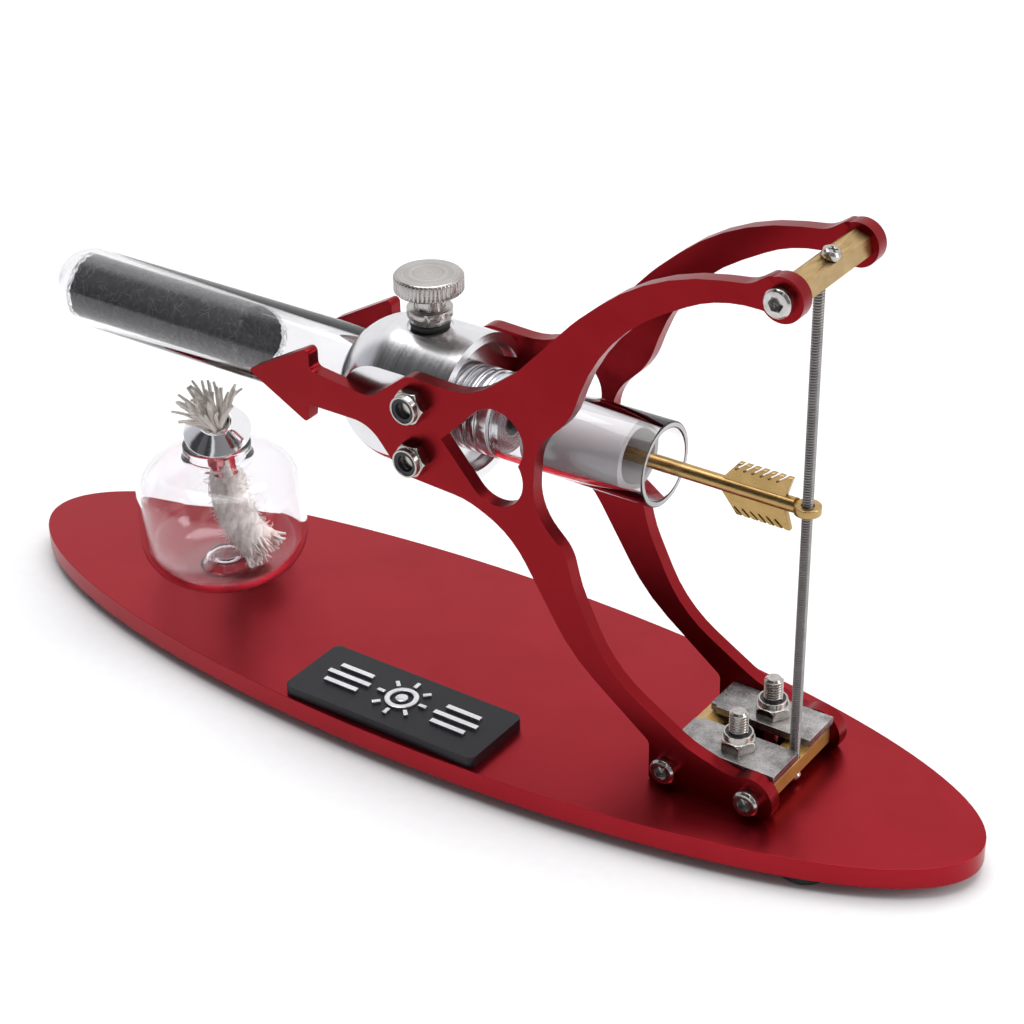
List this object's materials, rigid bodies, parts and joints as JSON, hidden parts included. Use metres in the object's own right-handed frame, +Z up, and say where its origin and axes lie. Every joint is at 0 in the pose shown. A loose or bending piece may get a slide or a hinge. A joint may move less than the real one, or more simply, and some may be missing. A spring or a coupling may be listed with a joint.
{
  "type": "stirling engine model",
  "caption": "Bow-and-arrow hot-air engine model: glass hot tube, aluminium cooler and glass cylinder whose arrow rod swings on a spring string, with a spirit lamp.",
  "frame": {"origin": "under the middle of the oval base, at the level its rubber feet stand on", "axes": "+X along the base from the lamp and hot tube towards the bowstring, +Y across the base away from the nameplate, +Z up"},
  "size_m": [0.2, 0.0564, 0.1018],
  "materials": {
    "anodised_red": "satin red anodised",
    "rubber_black": "matt",
    "nameplate_black": "satin black anodised",
    "ornament_silver": "satin",
    "brass": "brushed",
    "steel_fasteners": "satin zinc plated",
    "clamp_steel": "raw rolled",
    "nylon_dark": "matt",
    "spring_steel": "bare wire",
    "aluminium_turned": "turned and polished",
    "nickel": "nickel plated, knurled",
    "glass_clear": "clear",
    "glass_ground": "ground outside",
    "seal_white": "matt",
    "seal_dark": "smooth",
    "wool_dark": "fibrous",
    "cotton": "twisted"
  },
  "bodies": {
    "frame": {"base_plate": "anodised_red", "rubber_feet": "rubber_black", "nameplate": "nameplate_black", "nameplate_trim": "ornament_silver", "bow_plate_near": "anodised_red", "bow_plate_far": "anodised_red", "top_crossbar": "brass", "top_crossbar_screws": "steel_fasteners", "string_screw_top": "steel_fasteners", "foot_bar_front": "brass", "foot_bar_rear": "brass", "foot_screws": "steel_fasteners", "string_screw_bottom": "steel_fasteners", "bow_string": "spring_steel", "clamp_plate_near": "clamp_steel", "clamp_plate_far": "clamp_steel", "clamp_bolts": "steel_fasteners", "clamp_lock_nuts": "steel_fasteners", "clamp_nut_inserts": "nylon_dark", "cooler_body": "aluminium_turned", "hub_studs": "steel_fasteners", "hub_lock_nuts": "steel_fasteners", "hub_nut_inserts": "nylon_dark", "hot_tube": "glass_clear", "hot_tube_seals": "seal_dark", "regenerator_stack": "wool_dark", "cylinder_socket": "aluminium_turned", "cylinder_seal": "seal_white", "glass_cylinder": "glass_clear"},
    "piston": {"piston": "glass_ground", "arrow_rod": "brass", "arrow_fletching": "brass", "arrow_eyelet": "brass"},
    "valve_screw": {"valve_screw": "nickel", "valve_seal": "seal_dark"},
    "lamp": {"lamp_bulb": "glass_clear"},
    "wick_holder": {"wick_holder": "aluminium_turned", "wick": "cotton"}
  },
  "joints": [
    {"name": "piston_slide", "type": "slide", "parent": "frame", "child": "piston", "axis": [1, 0, 0], "range_m": [-0.0038, 0.0038], "stiffness_N_per_m": 80, "deforming": ["bow_string"]},
    {"name": "valve_turn", "type": "hinge", "parent": "frame", "child": "valve_screw", "pos_m": [-0.0053, 0, 0.07], "axis": [0, 0, 1], "range_deg": [0, 720]},
    {"name": "lamp_slide", "type": "slide", "parent": "frame", "child": "lamp", "axis": [1, 0, 0], "range_m": [-0.01, 0.015]},
    {"name": "holder_lift", "type": "slide", "parent": "lamp", "child": "wick_holder", "axis": [0.2177, -0.3379, 0.9157], "range_m": [0, 0.003]}
  ]
}
